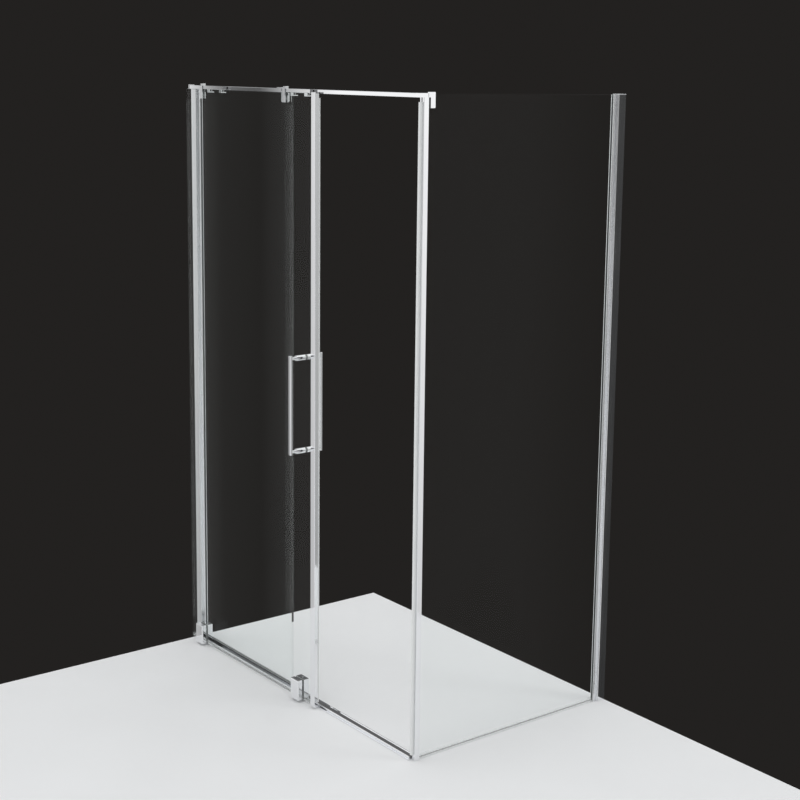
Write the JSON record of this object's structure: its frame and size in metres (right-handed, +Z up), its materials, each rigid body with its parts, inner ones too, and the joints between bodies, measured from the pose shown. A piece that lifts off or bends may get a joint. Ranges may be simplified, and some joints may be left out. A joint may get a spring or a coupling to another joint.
{
  "type": "rectangular shower enclosure",
  "caption": "Rectangular corner shower enclosure with fixed glass panes, a framed glass door that slides on bottom rollers, a bar handle, slim rails and wall profiles.",
  "frame": {"origin": "on the floor, under the middle of the enclosure's outline", "axes": "+Z up, +X along the door front from the left wall to the corner post, +Y from outside the door front into the shower, towards the back wall"},
  "size_m": [1.292, 0.885, 2.007],
  "materials": {
    "chrome": "polished",
    "glass": "clear",
    "clear_seal": "clear soft plastic",
    "magnet_strip": "satin",
    "stop_rubber": "matte",
    "cap_plastic": "satin",
    "roller": "smooth nylon",
    "steel": "brushed"
  },
  "bodies": {
    "frame": {"left_wall_profile": "chrome", "left_adjusting_profile": "chrome", "side_wall_profile": "chrome", "side_adjusting_profile": "chrome", "profile_caps": "cap_plastic", "profile_lock_screws": "steel", "glazing_gaskets": "clear_seal", "bottom_rail": "chrome", "fixed_glass": "glass", "fixed_glass_seat": "chrome", "fixed_glass_edge_seal": "clear_seal", "top_rail": "chrome", "rail_wall_bracket": "chrome", "door_stops": "stop_rubber", "rail_saddle": "chrome", "rail_clamp_plate": "chrome", "corner_post": "chrome", "post_magnetic_strip": "magnet_strip", "side_glass": "glass", "side_glass_base_seal": "clear_seal", "corner_bracket": "chrome", "corner_clamp_plate": "chrome", "frame_clamp_pads": "clear_seal", "frame_clamp_screws": "steel"},
    "door": {"door_glass": "glass", "door_edge_profile": "chrome", "door_magnetic_strip": "magnet_strip", "door_trailing_seal": "clear_seal", "door_bottom_seals": "clear_seal", "outer_handle_bar": "chrome", "inner_handle_bar": "chrome", "handle_posts": "chrome", "handle_washers": "clear_seal", "handle_studs": "steel", "left_roller_cover": "chrome", "right_roller_cover": "chrome", "left_roller_carrier": "chrome", "right_roller_carrier": "chrome", "height_adjusters": "steel", "roller_axles": "steel", "left_guide_carrier": "chrome", "right_guide_carrier": "chrome", "guide_front_plates": "chrome", "guide_axles": "steel", "door_clamp_pads": "clear_seal", "door_clamp_screws": "steel"},
    "left_roller_a": {"left_roller_a_tyre": "roller", "left_roller_a_bearing": "steel"},
    "left_roller_b": {"left_roller_b_tyre": "roller", "left_roller_b_bearing": "steel"},
    "right_roller_a": {"right_roller_a_tyre": "roller", "right_roller_a_bearing": "steel"},
    "right_roller_b": {"right_roller_b_tyre": "roller", "right_roller_b_bearing": "steel"},
    "left_guide_wheel_a": {"left_guide_wheel_a": "roller"},
    "left_guide_wheel_b": {"left_guide_wheel_b": "roller"},
    "right_guide_wheel_a": {"right_guide_wheel_a": "roller"},
    "right_guide_wheel_b": {"right_guide_wheel_b": "roller"}
  },
  "joints": [
    {"name": "door_slide", "type": "slide", "parent": "frame", "child": "door", "axis": [1, 0, 0], "range_m": [0, 0.492]},
    {"name": "left_roller_a_spin", "type": "hinge", "parent": "door", "child": "left_roller_a", "pos_m": [-0.5784, -0.3625, 0.0198], "axis": [0, 1, 0], "range_deg": [0, 3760]},
    {"name": "left_roller_b_spin", "type": "hinge", "parent": "door", "child": "left_roller_b", "pos_m": [-0.5576, -0.3625, 0.0198], "axis": [0, 1, 0], "range_deg": [0, 3760]},
    {"name": "right_roller_a_spin", "type": "hinge", "parent": "door", "child": "right_roller_a", "pos_m": [0.0416, -0.3625, 0.0198], "axis": [0, 1, 0], "range_deg": [0, 3760]},
    {"name": "right_roller_b_spin", "type": "hinge", "parent": "door", "child": "right_roller_b", "pos_m": [0.0624, -0.3625, 0.0198], "axis": [0, 1, 0], "range_deg": [0, 3760]},
    {"name": "left_guide_wheel_a_spin", "type": "hinge", "parent": "door", "child": "left_guide_wheel_a", "pos_m": [-0.506, -0.3625, 1.9925], "axis": [0, 0, 1], "range_deg": [-4087, 0]},
    {"name": "left_guide_wheel_b_spin", "type": "hinge", "parent": "door", "child": "left_guide_wheel_b", "pos_m": [-0.428, -0.3625, 1.9925], "axis": [0, 0, 1], "range_deg": [-4087, 0]},
    {"name": "right_guide_wheel_a_spin", "type": "hinge", "parent": "door", "child": "right_guide_wheel_a", "pos_m": [0.003, -0.3625, 1.9925], "axis": [0, 0, 1], "range_deg": [-4087, 0]},
    {"name": "right_guide_wheel_b_spin", "type": "hinge", "parent": "door", "child": "right_guide_wheel_b", "pos_m": [0.081, -0.3625, 1.9925], "axis": [0, 0, 1], "range_deg": [-4087, 0]}
  ],
  "couplings": [
    {"joint": "left_roller_a_spin", "follows": "door_slide", "rad_per_m": 133.33},
    {"joint": "left_roller_b_spin", "follows": "door_slide", "rad_per_m": 133.33},
    {"joint": "right_roller_a_spin", "follows": "door_slide", "rad_per_m": 133.33},
    {"joint": "right_roller_b_spin", "follows": "door_slide", "rad_per_m": 133.33},
    {"joint": "left_guide_wheel_a_spin", "follows": "door_slide", "rad_per_m": -144.93},
    {"joint": "left_guide_wheel_b_spin", "follows": "door_slide", "rad_per_m": -144.93},
    {"joint": "right_guide_wheel_a_spin", "follows": "door_slide", "rad_per_m": -144.93},
    {"joint": "right_guide_wheel_b_spin", "follows": "door_slide", "rad_per_m": -144.93}
  ]
}
